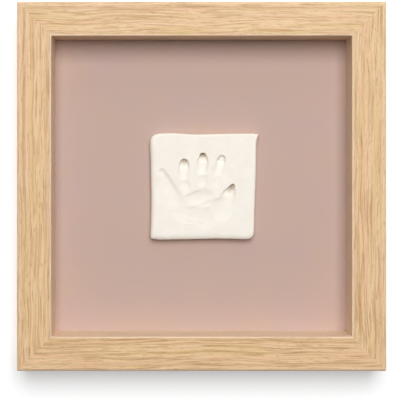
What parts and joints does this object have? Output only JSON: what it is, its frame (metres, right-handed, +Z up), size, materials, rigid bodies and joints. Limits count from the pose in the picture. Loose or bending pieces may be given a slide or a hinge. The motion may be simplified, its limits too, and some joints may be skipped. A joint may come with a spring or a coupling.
{
  "type": "baby handprint frame",
  "caption": "Deep square oak-effect wall frame showing a clay tile with a baby's handprint on a dusty pink card, with a back panel held by turn buttons.",
  "frame": {"origin": "middle of the bottom rail's underside, halfway through the depth of the rails", "axes": "+Z up, +Y towards the wall (the display faces -Y), +X to the right seen from the front"},
  "size_m": [0.3, 0.0392, 0.3],
  "materials": {
    "oak_foil_moulding": "satin printed oak foil on moulding",
    "nail_steel": "bright rolled steel",
    "pink_card": "matte dyed card",
    "air_dry_clay": "matte air-dried clay",
    "foam_tape": "matte foam",
    "hardboard": "pressed hardboard, smooth side out",
    "zinc_screw": "zinc plated",
    "zinc_plate": "zinc plated, pressed",
    "bumper_rubber": "matte moulded"
  },
  "bodies": {
    "root": {"rail_top": "oak_foil_moulding", "rail_right": "oak_foil_moulding", "rail_bottom": "oak_foil_moulding", "rail_left": "oak_foil_moulding", "corner_nails": "nail_steel", "mount_card": "pink_card", "clay_tile": "air_dry_clay", "foam_pad_1": "foam_tape", "foam_pad_2": "foam_tape", "foam_pad_3": "foam_tape", "foam_pad_4": "foam_tape", "back_panel": "hardboard", "button_screws": "zinc_screw", "keyhole_hanger": "zinc_plate", "hanger_screws": "zinc_screw", "bumper_top_a": "bumper_rubber", "bumper_top_b": "bumper_rubber", "bumper_bottom_a": "bumper_rubber", "bumper_bottom_b": "bumper_rubber"},
    "turn_button_top_a": {"turn_button_top_a": "zinc_plate"},
    "turn_button_top_b": {"turn_button_top_b": "zinc_plate"},
    "turn_button_right": {"turn_button_right": "zinc_plate"},
    "turn_button_bottom_a": {"turn_button_bottom_a": "zinc_plate"},
    "turn_button_bottom_b": {"turn_button_bottom_b": "zinc_plate"},
    "turn_button_left": {"turn_button_left": "zinc_plate"}
  },
  "joints": [
    {"name": "turn_top_a", "type": "hinge", "parent": "root", "child": "turn_button_top_a", "pos_m": [-0.07, 0.01825, 0.2835], "axis": [0, 1, 0], "continuous": true},
    {"name": "turn_top_b", "type": "hinge", "parent": "root", "child": "turn_button_top_b", "pos_m": [0.07, 0.01825, 0.2835], "axis": [0, 1, 0], "continuous": true},
    {"name": "turn_right", "type": "hinge", "parent": "root", "child": "turn_button_right", "pos_m": [0.1335, 0.01825, 0.15], "axis": [0, 1, 0], "continuous": true},
    {"name": "turn_bottom_a", "type": "hinge", "parent": "root", "child": "turn_button_bottom_a", "pos_m": [0.07, 0.01825, 0.0165], "axis": [0, 1, 0], "continuous": true},
    {"name": "turn_bottom_b", "type": "hinge", "parent": "root", "child": "turn_button_bottom_b", "pos_m": [-0.07, 0.01825, 0.0165], "axis": [0, 1, 0], "continuous": true},
    {"name": "turn_left", "type": "hinge", "parent": "root", "child": "turn_button_left", "pos_m": [-0.1335, 0.01825, 0.15], "axis": [0, 1, 0], "continuous": true}
  ]
}
